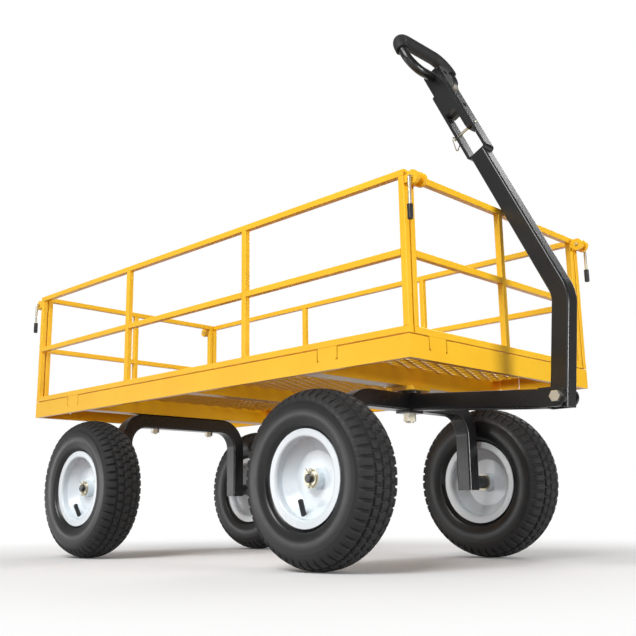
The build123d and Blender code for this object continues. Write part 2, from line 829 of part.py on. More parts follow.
# Tow fork: one flat bar bent into a U, with a row of holes through both legs
with BuildPart() as tow_fork:
    with BuildSketch(side_plane) as fork_side:
        with BuildLine():
            Polyline(
                (-fork_outer, 0),
                (fork_outer, 0),
                (fork_outer, fork_front_leg),
                (fork_half, fork_front_leg),
                (fork_half, fork_bar),
                (-fork_half, fork_bar),
                (-fork_half, fork_rear_leg),
                (-fork_outer, fork_rear_leg),
                close=True,
            )
        make_face()
        fillet(fork_side.vertices().group_by(Axis.Y)[0], fork_bend)
        inside_corners = fork_side.vertices().filter_by_position(Axis.Y, fork_bar - fit, fork_bar + fit)
        fillet(inside_corners, fork_bend - fork_bar)
    extrude(amount=fork_width / 2, both=True)
    fillet(bar_ends(tow_fork, fork_front_leg), fork_width / 2 - slip)
    fillet(bar_ends(tow_fork, fork_rear_leg), fork_width / 2 - slip)
    with BuildSketch(front_plane):
        with Locations((0, lock_hole)):
            Circle(lock_nose_d / 2 + slip)
        with Locations((0, index_hole)):
            Circle(tow_hole_d / 2)
        with Locations((0, stem_hole)):
            Circle(stem_bolt_d / 2 + fit)
        with Locations((0, tow_hole)):
            Circle(tow_hole_d / 2)
    extrude(amount=2 * fork_outer, both=True, mode=Mode.SUBTRACT)
save(tow_fork.part, "tow_fork")

# Grip stem: a block between the legs whose front tongue reaches down to the lock pin
stem_half = stem_side / 2
with BuildPart() as grip_stem:
    with BuildSketch(side_plane):
        with Locations((0, (stem_start + stem_end) / 2)):
            Rectangle(stem_side, stem_end - stem_start)
        tongue_low = lock_hole - stem_tongue_end
        with Locations((stem_half - stem_tongue / 2, (tongue_low + stem_end) / 2)):
            Rectangle(stem_tongue, stem_end - tongue_low)
    extrude(amount=stem_half, both=True)
    fillet(bar_ends(grip_stem, tongue_low), stem_tongue_end - slip)
    fillet(bar_ends(grip_stem, stem_end), stem_round)
    with BuildSketch(front_plane):
        with Locations((0, lock_hole)):
            Circle(lock_nose_d / 2 + slip)
        with Locations((0, index_hole)):
            Circle(tow_hole_d / 2)
        with Locations((0, stem_hole)):
            Circle(stem_bolt_d / 2 + fit)
    extrude(amount=2 * stem_side, both=True, mode=Mode.SUBTRACT)
    with BuildSketch(side_plane):
        with Locations((0, loop_low)):
            Circle(loop_d / 2 + fit)
    extrude(amount=2 * stem_side, both=True, mode=Mode.SUBTRACT)
save(grip_stem.part, "grip_stem")

stem_bolt_plane = Plane(front_plane.from_local_coords((0, stem_hole, fork_outer)), left_dir, -front_dir)
save(hex_bolt(stem_bolt_plane, stem_bolt_d, 2 * fork_outer, stem_bolt_flats, stem_bolt_head), "stem_bolt")

# Grip loop: a round tube bent into a closed frame, with a foam sleeve over its crossbar


def head_points(*places):
    return [front_plane.from_local_coords((left, along, 0)) for left, along in places]


loop_half = loop_width / 2
with BuildPart() as grip_loop:
    with BuildLine() as loop_path:
        FilletPolyline(
            *head_points(
                (loop_half, loop_low),
                (loop_half, loop_high),
                (-loop_half, loop_high),
                (-loop_half, loop_low),
            ),
            radius=loop_corner,
            close=True,
        )
    with BuildSketch(Plane(loop_path.line @ 0, z_dir=loop_path.line % 0)):
        Circle(loop_d / 2)
    sweep()
save(grip_loop.part, "grip_loop")

sleeve_start = loop_high - loop_corner - sleeve_leg
with BuildPart() as grip_sleeve:
    with BuildLine() as sleeve_path:
        FilletPolyline(
            *head_points(
                (loop_half, sleeve_start),
                (loop_half, loop_high),
                (-loop_half, loop_high),
                (-loop_half, sleeve_start),
            ),
            radius=loop_corner,
        )
    with BuildSketch(Plane(sleeve_path.line @ 0, z_dir=sleeve_path.line % 0)):
        Circle(sleeve_d / 2)
        Circle(loop_d / 2 + fit, mode=Mode.SUBTRACT)
    sweep()
save(grip_sleeve.part, "grip_sleeve")

# Lock pin: a thicker nose through the front leg and the stem's tongue, drawn out rearward by its ring

nose_tip = fork_outer + lock_pin_front
pin_back = fork_outer + lock_pin_rear
ring_hole = fork_outer + lock_pin_rear / 2
nose_plane = Plane(front_plane.from_local_coords((0, lock_hole, nose_tip)), left_dir, -front_dir)
ring_point = front_plane.from_local_coords((0, lock_hole, -ring_hole))
with BuildPart() as lock_pin:
    with BuildSketch(nose_plane):
        Circle(lock_nose_d / 2)
    extrude(amount=lock_nose_length)
    chamfer(lock_pin.faces().sort_by(Axis(pole_end, front_dir))[-1].edges(), lock_nose_d / 5)
    with BuildSketch(nose_plane.offset(lock_nose_length)):
        Circle(lock_pin_d / 2)
    extrude(amount=nose_tip + pin_back - lock_nose_length)
    with Locations(ring_point):
        Cylinder(ring_wire / 2 + slip, 2 * lock_pin_d, rotation=(90, 0, 0), mode=Mode.SUBTRACT)
save(lock_pin.part, "lock_pin")

with BuildPart() as pin_ring:
    with BuildLine() as ring_path:
        FilletPolyline(
            ring_point + Vector(0, ring_width / 2, 0),
            ring_point - Vector(0, 0, ring_drop),
            ring_point - Vector(0, ring_width / 2, 0),
            radius=ring_round,
            close=True,
        )
    with BuildSketch(Plane(ring_path.line @ 0, z_dir=ring_path.line % 0)):
        Circle(ring_wire / 2)
    sweep()
save(pin_ring.part, "pin_ring")
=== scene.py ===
"""Looks of the steel hand wagon: paint, rubber, plating, deck mesh, tyre treads, split pins and studio."""
import json

import bmesh
import bpy
import numpy as np
from mathutils import Matrix, Vector


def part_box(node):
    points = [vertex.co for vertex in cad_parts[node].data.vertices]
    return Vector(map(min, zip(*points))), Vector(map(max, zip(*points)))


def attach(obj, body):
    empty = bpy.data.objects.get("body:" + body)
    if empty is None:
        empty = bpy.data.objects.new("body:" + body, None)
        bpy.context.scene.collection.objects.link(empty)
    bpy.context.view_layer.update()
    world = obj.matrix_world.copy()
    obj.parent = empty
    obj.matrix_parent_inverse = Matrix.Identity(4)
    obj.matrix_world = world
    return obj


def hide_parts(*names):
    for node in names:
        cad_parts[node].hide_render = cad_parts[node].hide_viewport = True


bl_info = {
    "name": "Hand Wagon Looks",
    "version": (1, 0, 0),
    "blender": (4, 5, 0),
    "location": "3D View > Sidebar > Wagon",
    "description": "Paints the hand wagon and adds its deck mesh, tyre treads, split pins and studio",
    "category": "Object",
}

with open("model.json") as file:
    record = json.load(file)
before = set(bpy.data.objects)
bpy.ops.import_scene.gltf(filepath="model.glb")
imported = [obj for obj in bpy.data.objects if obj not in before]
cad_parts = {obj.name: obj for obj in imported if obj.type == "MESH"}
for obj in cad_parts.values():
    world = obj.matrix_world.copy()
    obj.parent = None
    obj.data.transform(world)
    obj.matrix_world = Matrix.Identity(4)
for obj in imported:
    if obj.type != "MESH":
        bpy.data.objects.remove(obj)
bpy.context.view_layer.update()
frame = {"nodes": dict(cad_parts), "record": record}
nodes = frame["nodes"]
CORNERS = ("front_right", "front_left", "rear_right", "rear_left")
MM = 0.001


# Small tools


def linear(code):
    """Turn an sRGB hex colour into linear light."""
    values = np.array([int(code[i:i + 2], 16) for i in (1, 3, 5)]) / 255.0
    light = np.where(values <= 0.04045, values / 12.92, ((values + 0.055) / 1.055) ** 2.4)
    return (*light.tolist(), 1.0)


def add_node(tree, kind, settings=None, links=None):
    """Add one shader node, set its values by socket or attribute name, and link its inputs."""
    item = tree.nodes.new(kind)
    for key, value in (settings or {}).items():
        if isinstance(key, int) or key in item.inputs:
            item.inputs[key].default_value = value
        else:
            setattr(item, key, value)
    for key, source in (links or {}).items():
        tree.links.new(source, item.inputs[key])
    return item


def blank_material(name):
    """A new node material, with its tree and its surface shader."""
    material = bpy.data.materials.new(name)
    material.use_nodes = True
    tree = material.node_tree
    return material, tree, tree.nodes["Principled BSDF"]


def box_of(name):
    """A node's lowest and highest corners as arrays."""
    low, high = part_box(name)
    return np.array(low), np.array(high)


def joined_grids(name, grids):
    """Make one mesh object from grids of points; each grid says which of its directions close.

    Points that fall together, as at a pole or an end cap, are merged, so every shell is closed.
    """
    points, faces, start = [], [], 0
    for grid, wrap_rows, wrap_columns in grids:
        rows, columns = grid.shape[:2]
        index = start + np.arange(rows * columns).reshape(rows, columns)
        if wrap_rows:
            index = np.vstack([index, index[:1]])
        if wrap_columns:
            index = np.hstack([index, index[:, :1]])
        quads = np.stack([index[:-1, :-1], index[1:, :-1], index[1:, 1:], index[:-1, 1:]], -1)
        points.append(grid.reshape(-1, 3))
        faces.append(quads.reshape(-1, 4))
        start += rows * columns
    mesh = bpy.data.meshes.new(name)
    mesh.from_pydata(np.vstack(points).tolist(), [], np.vstack(faces).tolist())
    work = bmesh.new()
    work.from_mesh(mesh)
    bmesh.ops.remove_doubles(work, verts=work.verts, dist=1e-7)
    bmesh.ops.recalc_face_normals(work, faces=work.faces)
    work.to_mesh(mesh)
    work.free()
    piece = bpy.data.objects.new(name, mesh)
    bpy.context.scene.collection.objects.link(piece)
    return piece


def capped(grid):
    """Close a sleeve of rings at both ends by adding a ring shrunk to the middle of each end ring."""
    middles = [np.broadcast_to(ring.mean(0), ring.shape)[None] for ring in (grid[0], grid[-1])]
    return np.concatenate([middles[0], grid, middles[1]])


def wire(path, normal, radius, sides=10):
    """A round wire along a flat path: rings of cos(f) n + sin(f) (t x n) about each point, with round tips.

    The path lies in the plane square to n, and t is its tangent. One more ring, a little beyond each end
    and smaller than the rest, rounds the tip.
    """
    tip_reach, tip_size = 0.7, 0.6
    tangent = np.gradient(path, axis=0)
    tangent /= np.linalg.norm(tangent, axis=1, keepdims=True)
    first = path[:1] - tangent[:1] * radius * tip_reach
    last = path[-1:] + tangent[-1:] * radius * tip_reach
    path = np.vstack([first, path, last])
    tangent = np.vstack([tangent[:1], tangent, tangent[-1:]])
    size = np.full(len(path), radius)
    size[[0, -1]] *= tip_size
    turn = np.arange(sides) / sides * 2 * np.pi
    normal = np.asarray(normal, float)
    across = np.cross(tangent, normal)
    ring = np.cos(turn)[None, :, None] * normal + np.sin(turn)[None, :, None] * across[:, None]
    return capped(path[:, None] + ring * size[:, None, None])


def curve_through(points, count):
    """A smooth line through points: cubic pieces by arc length whose slopes come from the neighbours."""
    points = np.asarray(points, float)
    t = np.r_[0, np.cumsum(np.linalg.norm(np.diff(points, axis=0), axis=1))]
    u = np.linspace(0, t[-1], count)
    slope = np.gradient(points, t, axis=0)
    k = np.clip(np.searchsorted(t, u, side="right") - 1, 0, len(t) - 2)
    h = (t[k + 1] - t[k])[:, None]
    s = ((u - t[k]) / (t[k + 1] - t[k]))[:, None]
    return (
        (2 * s**3 - 3 * s**2 + 1) * points[k]
        + (s**3 - 2 * s**2 + s) * h * slope[k]
        + (-2 * s**3 + 3 * s**2) * points[k + 1]
        + (s**3 - s**2) * h * slope[k + 1]
    )


def ramp(value):
    """A smooth step from 0 to 1 over one unit about zero: 3 s^2 - 2 s^3."""
    s = np.clip(value + 0.5, 0, 1)
    return s * s * (3 - 2 * s)


def finish_piece(piece, material, body, slot, *replaced, crease=None):
    """Give a new piece its finish and its body, and hide what it replaces. The slot argument is not used.

    With a crease angle, the piece is shaded smooth except over edges sharper than that.
    """
    piece.data.materials.append(bpy.data.materials[material])
    if crease is not None:
        piece.data.polygons.foreach_set("use_smooth", np.ones(len(piece.data.polygons), bool))
        piece.data.set_sharp_from_angle(angle=crease)
    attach(piece, body)
    if replaced:
        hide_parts(*replaced)


# Finishes

# Depth of the fine skins of paint and rubber, in metres
SKIN_DEPTH = 0.0006


def powder_coat(name, colour, deep_colour, roughness, peel_mm, ripple, coat):
    """Baked powder paint: an even colour that pools a little darker, and a fine orange-peel skin.

    The pools are about 120 mm apart. They turn the gloss a little too, and the skin breaks up highlights.
    """
    pool_mm = 120.0
    material, tree, surface = blank_material(name)
    place = add_node(tree, "ShaderNodeTexCoord").outputs["Object"]
    pool = add_node(
        tree,
        "ShaderNodeTexNoise",
        {"Scale": 1 / (pool_mm * MM), "Detail": 4.0, "Roughness": 0.6},
        {"Vector": place},
    ).outputs["Fac"]
    tone = add_node(tree, "ShaderNodeValToRGB", links={"Fac": pool})
    tone.color_ramp.elements[0].position = 0.28
    tone.color_ramp.elements[0].color = linear(deep_colour)
    tone.color_ramp.elements[1].position = 0.62
    tone.color_ramp.elements[1].color = linear(colour)
    # The skin's ripples are drawn about twice as coarse as real ones, so that they show
    peel = add_node(
        tree, "ShaderNodeTexNoise", {"Scale": 1 / (peel_mm * MM), "Detail": 2.0}, {"Vector": place}
    ).outputs["Fac"]
    skin = add_node(
        tree, "ShaderNodeBump", {"Strength": ripple, "Distance": SKIN_DEPTH}, {"Height": peel}
    )
    gloss = add_node(
        tree,
        "ShaderNodeMapRange",
        {"To Min": roughness - 0.05, "To Max": roughness + 0.07},
        {"Value": pool},
    )
    tree.links.new(tone.outputs["Color"], surface.inputs["Base Color"])
    tree.links.new(gloss.outputs["Result"], surface.inputs["Roughness"])
    tree.links.new(skin.outputs["Normal"], surface.inputs["Normal"])
    surface.inputs["IOR"].default_value = 1.5
    surface.inputs["Coat Weight"].default_value = coat
    surface.inputs["Coat Roughness"].default_value = 0.12
    return material


def rubber(name, colour, worn_colour, roughness, grain_mm, relief, dull=0.0):
    """Moulded rubber, vinyl or foam: nearly black, greyer in patches about 50 mm apart, with a fine grain.

    A piece's "dull" attribute, where it has one, adds up to the given roughness, as on a tyre's tread.
    """
    patch_mm = 50.0
    material, tree, surface = blank_material(name)
    place = add_node(tree, "ShaderNodeTexCoord").outputs["Object"]
    bloom = add_node(
        tree,
        "ShaderNodeTexNoise",
        {"Scale": 1 / (patch_mm * MM), "Detail": 6.0, "Roughness": 0.65},
        {"Vector": place},
    ).outputs["Fac"]
    tone = add_node(tree, "ShaderNodeValToRGB", links={"Fac": bloom})
    tone.color_ramp.elements[0].position = 0.35
    tone.color_ramp.elements[0].color = linear(colour)
    tone.color_ramp.elements[1].position = 0.75
    tone.color_ramp.elements[1].color = linear(worn_colour)
    grain = add_node(
        tree, "ShaderNodeTexNoise", {"Scale": 1 / (grain_mm * MM), "Detail": 3.0}, {"Vector": place}
    ).outputs["Fac"]
    skin = add_node(
        tree, "ShaderNodeBump", {"Strength": relief, "Distance": SKIN_DEPTH}, {"Height": grain}
    )
    gloss = add_node(
        tree,
        "ShaderNodeMapRange",
        {"To Min": roughness - 0.08, "To Max": roughness + 0.1},
        {"Value": bloom},
    ).outputs["Result"]
    matt = add_node(tree, "ShaderNodeAttribute", {"attribute_name": "dull"}).outputs["Fac"]
    gloss = add_node(
        tree, "ShaderNodeMath", {"operation": "MULTIPLY_ADD", 1: dull}, {0: matt, 2: gloss}
    ).outputs["Value"]
    tree.links.new(tone.outputs["Color"], surface.inputs["Base Color"])
    tree.links.new(gloss, surface.inputs["Roughness"])
    tree.links.new(skin.outputs["Normal"], surface.inputs["Normal"])
    surface.inputs["IOR"].default_value = 1.52
    return material


def zinc_plate(name, colour, tint, roughness):
    """Bright zinc on steel: a pale metal with a faint yellow passivation.

    The yellow drifts over it in patches about 12 mm apart, and dulls it a little where it is deep.
    """
    drift_mm = 12.0
    material, tree, surface = blank_material(name)
    place = add_node(tree, "ShaderNodeTexCoord").outputs["Object"]
    drift = add_node(
        tree,
        "ShaderNodeTexNoise",
        {"Scale": 1 / (drift_mm * MM), "Detail": 5.0, "Roughness": 0.6},
        {"Vector": place},
    ).outputs["Fac"]
    tone = add_node(tree, "ShaderNodeValToRGB", links={"Fac": drift})
    tone.color_ramp.elements[0].position = 0.3
    tone.color_ramp.elements[0].color = linear(colour)
    tone.color_ramp.elements[1].position = 0.75
    tone.color_ramp.elements[1].color = linear(tint)
    gloss = add_node(
        tree,
        "ShaderNodeMapRange",
        {"To Min": roughness - 0.08, "To Max": roughness + 0.12},
        {"Value": drift},
    )
    tree.links.new(tone.outputs["Color"], surface.inputs["Base Color"])
    tree.links.new(gloss.outputs["Result"], surface.inputs["Roughness"])
    surface.inputs["Metallic"].default_value = 1.0
    return material


# Settings


def colour_setting(label, about, code):
    """A colour, written as sRGB hex."""
    return bpy.props.StringProperty(name=label, description=about, default=code)


def length_setting(label, about, value):
    """A length in metres."""
    return bpy.props.FloatProperty(
        name=label, description=about, default=value, unit="LENGTH", precision=4
    )


def power_setting(label, about, value):
    """A light's power in watts."""
    return bpy.props.FloatProperty(name=label, description=about, default=value, unit="POWER")


def level_setting(label, about, value):
    """A level of light, where 1 is white."""
    return bpy.props.FloatProperty(name=label, description=about, default=value)


class WagonFinishes(bpy.types.PropertyGroup):
    """Paint, rubber and plating."""

    yellow: colour_setting("Yellow paint", "Powder coat of the bed and sides", "#fdc81e")
    yellow_deep: colour_setting("Deep yellow", "Where the yellow pools", "#fac017")
    black: colour_setting("Black paint", "Powder coat of the axles and the pole", "#141517")
    black_deep: colour_setting("Deep black", "Where the black pools", "#101113")
    white: colour_setting("White enamel", "Wheel rims", "#e2ebf0")
    white_deep: colour_setting("Deep white", "Where the enamel pools", "#d9e4ea")
    tyre: colour_setting("Tyre rubber", "Tyres", "#0e0e0f")
    tyre_worn: colour_setting("Rubbed rubber", "Greyer rubber", "#161617")
    valve: colour_setting("Valve rubber", "Valve stems", "#121213")
    valve_worn: colour_setting("Rubbed valve", "Greyer valve rubber", "#19191a")
    vinyl: colour_setting("Dipped vinyl", "Grips of the latch pins", "#131316")
    vinyl_worn: colour_setting("Rubbed vinyl", "Greyer vinyl", "#1a1a1e")
    foam: colour_setting("Grip foam", "Sleeve of the grip loop", "#131314")
    foam_worn: colour_setting("Rubbed foam", "Greyer foam", "#1d1d1f")
    zinc: colour_setting("Zinc", "Bolts, wires and washers", "#cccbc6")
    zinc_tint: colour_setting("Zinc tint", "Yellow passivation", "#c6bb98")


class WagonDeck(bpy.types.PropertyGroup):
    """The expanded-metal deck."""

    long_way: length_setting("Long way", "Diamond length across the bed", 0.0508)
    short_way: length_setting("Short way", "Diamond width along the bed", 0.0234)
    strand: length_setting("Strand", "Width of a strand, measured up its slope", 0.0028)
    sheet: length_setting("Sheet", "Thickness of the sheet the strands are cut from", 0.002)
    lean: bpy.props.FloatProperty(
        name="Lean", description="How far the press turns each strand", default=0.7, subtype="ANGLE"
    )


class WagonTyre(bpy.types.PropertyGroup):
    """The tyres' tread."""

    pitches: bpy.props.IntProperty(name="Pitches", description="Tread blocks round the tyre", default=52)
    depth: length_setting("Tread depth", "Depth of the grooves", 0.0042)
    rib: length_setting("Sidewall rib", "Height of the guard ring over the rim", 0.0018)


class WagonFittings(bpy.types.PropertyGroup):
    """The wheels' split pins."""

    pin_wire: length_setting("Pin wire", "Thickness of one leg of a split pin", 0.0022)


class WagonStudio(bpy.types.PropertyGroup):
    """The studio floor and lights."""

    paper: colour_setting("Paper", "The floor as the eye sees it", "#e2e2e2")
    bounce: colour_setting("Bounce", "The floor as it throws light up at the wagon", "#653a27")
    glow: level_setting("Glow", "Light added to the floor's shade", 0.03)
    fade_start: length_setting("Fade start", "Where the floor begins to turn white", 0.6)
    fade_end: length_setting("Fade end", "Where the floor is all white", 1.6)
    dim: level_setting("Dim side", "Light from the wagon's left", 0.2)
    bright: level_setting("Bright side", "Light from the wagon's right", 0.44)
    key: power_setting("Key", "Power of the key light", 158.0)
    side: power_setting("Side", "Power of the low right light", 19.0)
    fill: power_setting("Fill", "Power of the left light", 72.0)
    front: power_setting("Front", "Power of the front light", 80.0)
    near: power_setting("Near", "Power of the light by the camera", 12.0)


# Pieces


class WAGON_OT_finishes(bpy.types.Operator):
    """Paint and plate every piece that comes from the CAD model"""

    bl_idname = "wagon.finishes"
    bl_label = "Paint and plate"

    def execute(self, context):
        look = context.scene.wagon_finishes
        finish = {
            "yellow_paint": powder_coat(
                "yellow_powder_coat", look.yellow, look.yellow_deep,
                roughness=0.36, peel_mm=1.6, ripple=0.05, coat=0.12,
            ),
            "black_paint": powder_coat(
                "black_powder_coat", look.black, look.black_deep,
                roughness=0.27, peel_mm=1.6, ripple=0.02, coat=0.1,
            ),
            "white_enamel": powder_coat(
                "white_enamel", look.white, look.white_deep,
                roughness=0.26, peel_mm=3.0, ripple=0.05, coat=0.4,
            ),
            "tyre": rubber(
                "tyre_rubber", look.tyre, look.tyre_worn,
                roughness=0.32, grain_mm=0.9, relief=0.06, dull=0.4,
            ),
            "rubber": rubber(
                "valve_rubber", look.valve, look.valve_worn, roughness=0.48, grain_mm=0.5, relief=0.1
            ),
            "vinyl": rubber(
                "dipped_vinyl", look.vinyl, look.vinyl_worn, roughness=0.36, grain_mm=1.5, relief=0.1
            ),
            "foam": rubber(
                "grip_foam", look.foam, look.foam_worn, roughness=0.7, grain_mm=0.9, relief=0.3
            ),
            "zinc": zinc_plate("zinc_plate", look.zinc, look.zinc_tint, roughness=0.34),
        }
        for part in frame["record"]["subparts"]:
            piece = nodes[part["node"]]
            piece.data.materials.clear()
            piece.data.materials.append(finish[part["material_slot"]])
        return {"FINISHED"}


class WAGON_OT_deck(bpy.types.Operator):
    """Lay the expanded-metal deck between the skirt flanges"""

    bl_idname = "wagon.deck"
    bl_label = "Lay the deck"

    def execute(self, context):
        deck = context.scene.wagon_deck
        low, high = box_of("deck_mesh")
        size = high - low
        count = int(round(size[0] / deck.short_way)) * 2
        step = size[0] / count
        halves = int(round(size[1] / deck.long_way)) * 2
        half = size[1] / halves
        # A strand is a zigzag: it holds to one neighbour over a bond, then crosses to the other. The press
        # turns the sheet, so bonded strands lie edge to edge up the slope u = (cos lean, sin lean).
        # A bond reaches this share of a half diamond to each side
        bond = 0.17
        turns = np.arange(halves + 1)
        y = np.stack([turns - bond, turns + bond], 1).reshape(-1)[1:-1] * half
        side = np.repeat(np.where(turns % 2 == 0, 1.0, -1.0), 2)[1:-1]
        number = np.arange(count)
        forward = np.where(number % 2 == 0, 1.0, -1.0)[:, None] * side[None, :]
        run, rise = np.cos(deck.lean), np.sin(deck.lean)
        x = (number[:, None] + 0.5) * step + forward * (step - deck.strand * run) / 2
        z = -forward * deck.strand * rise / 2
        line = np.stack([x, np.broadcast_to(y, x.shape), z], -1) + low
        # Its section is a flat strip, turned to rise forward, and the highest bonds reach the deck's top
        width, thick = deck.strand / 2, deck.sheet / 2
        strip = np.array([[-width, -thick], [width, -thick], [width, thick], [-width, thick]])
        strip = strip @ np.array([[run, rise], [-rise, run]])
        strip[:, 1] += size[2] - strip[:, 1].max() - z.max()
        offset = np.stack([strip[:, 0], np.zeros(4), strip[:, 1]], -1)
        rows = line[:, :, None, :] + offset[None, None]
        rows[..., 0] = np.clip(rows[..., 0], low[0], high[0])
        piece = joined_grids("deck_expanded_metal", [(capped(row), False, True) for row in rows])
        finish_piece(piece, "yellow_powder_coat", "chassis", "yellow_paint", "deck_mesh")
        return {"FINISHED"}


# The tyre's measures, all in millimetres. Across the tread from its middle: where the two round grooves
# begin and end, how wide their sloped walls are, and the middles of the grooves
GROOVE_EDGES = np.array([8.0, 12.0, 24.0, 28.0])
GROOVE_RAMP = 2.0
GROOVE_MIDDLES = (10.0, 26.0)
# Out from the axle, as a middle and a width: where the tread fades in over the shoulder, where the rubber
# turns matt, the guard ring over the rim and the fine ridge below the shoulder
TREAD_FADE = (147.0, 13.0)
MATT_FADE = (141.0, 10.0)
GUARD_RING = (99.0, 2.4)
FINE_RIDGE = (134.0, 1.2)
FINE_RIDGE_HEIGHT = 0.7
# Only what is further out than this from the tyre's middle plane has ribs
WALL_REACH = 30
# The wall from the rim's flange to the shoulder, as axial place and radius
WALL = (
    (35.0, 86.0), (34.6, 90.5), (39.4, 95.5), (45.8, 102.0),
    (49.0, 111.0), (49.8, 122.0), (48.0, 137.0), (44.0, 149.0),
)
# The crown's half width, its radius in the middle and at its edges, and how square it is
CROWN_HALF, CROWN_RADIUS, CROWN_EDGE, CROWN_POWER = 42.8, 164.9, 151.2, 2.4
# The unseen lining that closes the section, over the bead and round the air space, on one side
LINING = ((35.0, 78.0), (24.5, 76.8), (24.5, 90.0), (40.0, 112.0), (38.0, 138.0), (20.0, 151.0))
# In shares of a pitch: half a block's length to the middle of its end slope, and that slope's length
BLOCK_HALF, BLOCK_RAMP = 0.385, 0.11


def tyre_section():
    """The tyre's outline as axial place and radius, from the outer bead round to the inner one.

    Each sidewall is a smooth line from the rim's flange over the belly to the shoulder. The crown is
    r = crown - drop (|a| / half)^2.4, with extra columns on the sloped walls of the grooves.
    """
    wall = curve_through(WALL, 24)
    steps = (GROOVE_EDGES[:, None] + GROOVE_RAMP * np.array([-0.5, -0.17, 0.17, 0.5])).reshape(-1)
    a = np.unique(np.r_[np.linspace(-CROWN_HALF, CROWN_HALF, 19), steps, -steps])
    r = CROWN_RADIUS - (CROWN_RADIUS - CROWN_EDGE) * (np.abs(a) / CROWN_HALF) ** CROWN_POWER
    return np.vstack([wall * [-1, 1], np.stack([a, r], -1), wall[::-1]])


def tyre_surface(tread):
    """The tyre about its axle in metres: its section carried round the wheel, point (r cos t, a, r sin t).

    Along its normal each point rises by the mould's ribs and sinks by the tread's depth between blocks.
    """
    line = tyre_section()
    across, radius = line[:, 0], line[:, 1]
    slope = np.gradient(line, axis=0)
    normal = np.stack([-slope[:, 1], slope[:, 0]], -1)
    normal /= np.linalg.norm(normal, axis=1, keepdims=True)
    reach = np.abs(across)
    on_tread = ramp((radius - TREAD_FADE[0]) / TREAD_FADE[1])
    inner, first, second, outer = (ramp((reach - edge) / GROOVE_RAMP) for edge in GROOVE_EDGES)
    on_block = 1 - inner * (1 - first) - second * (1 - outer)
    # The middle rows are half a pitch on from the others, and one side is a quarter pitch on from the other
    staggered = (reach > GROOVE_MIDDLES[0]) & (reach < GROOVE_MIDDLES[1])
    phase = np.where(staggered, 0.5, 0.0) + np.where(across < 0, 0.25, 0.0)
    # Each pitch has sixteen places round the tyre, gathered where the blocks' sloped ends are
    cut = (np.arange(4)[:, None] / 4 + np.array([0.075, 0.11, 0.145, 0.18])).reshape(-1)
    turn = (np.arange(tread.pitches)[:, None] + cut[None]).reshape(-1)
    beat = np.abs((turn[:, None] + phase[None]) % 1.0 - 0.5)
    block = ramp((BLOCK_HALF - beat) / BLOCK_RAMP) * on_block[None]
    sink = tread.depth / MM * on_tread[None] * (1 - block)
    guard = tread.rib / MM * np.exp(-(((radius - GUARD_RING[0]) / GUARD_RING[1]) ** 2))
    ridge = FINE_RIDGE_HEIGHT * np.exp(-(((radius - FINE_RIDGE[0]) / FINE_RIDGE[1]) ** 2))
    rib = (guard + ridge) * (reach > WALL_REACH)
    a = across[None] + normal[None, :, 0] * (rib[None] - sink)
    r = radius[None] + normal[None, :, 1] * (rib[None] - sink)
    lining = np.array(LINING)
    lining = np.vstack([lining, lining[::-1] * [-1, 1]])
    rounds = np.ones((len(turn), 1))
    a = np.hstack([a, rounds * lining[None, :, 0]])
    r = np.hstack([r, rounds * lining[None, :, 1]])
    angle = turn[:, None] / tread.pitches * 2 * np.pi
    return np.stack([r * np.cos(angle), a, r * np.sin(angle)], -1) * MM


class WAGON_OT_tyres(bpy.types.Operator):
    """Mould the four tyres with their tread blocks and sidewall ribs"""

    bl_idname = "wagon.tyres"
    bl_label = "Mould the tyres"

    def execute(self, context):
        wheel = tyre_surface(context.scene.wagon_tyre)
        for corner in CORNERS:
            low, high = box_of(f"{corner}_tyre")
            middle = (low + high) / 2
            piece = joined_grids(f"{corner}_tread", [(wheel + middle, True, True)])
            place = np.empty(len(piece.data.vertices) * 3)
            piece.data.vertices.foreach_get("co", place)
            from_axle = np.linalg.norm((place.reshape(-1, 3) - middle)[:, [0, 2]], axis=1) / MM
            dull = piece.data.attributes.new("dull", "FLOAT", "POINT")
            dull.data.foreach_set("value", ramp((from_axle - MATT_FADE[0]) / MATT_FADE[1]))
            finish_piece(piece, "tyre_rubber", f"{corner}_wheel", "tyre", f"{corner}_tyre", crease=1.2)
        return {"FINISHED"}


# A split pin in the plane of its axle, in millimetres. Places up a leg from the axle's line, how far
# each of the two legs stands out there, how deep the eye hangs, and how far its hole is inside the
# CAD pins' outer edge
LEG_LIFT = np.array([-13.5, -9.0, 0.0, 8.5, 11.0, 14.5, 17.5])
LEG_OUT = np.array([[2.2, 0.7, 0.75, 0.75, 2.2, 5.2, 8.0], [-2.2, -0.7, -0.75, -0.75, -1.0, -1.6, -2.2]])
EYE_DEPTH = 3.2
HOLE_INSET = 1.5
# Rings of wire along a leg and round the eye
LEG_RINGS, EYE_RINGS = 40, 16


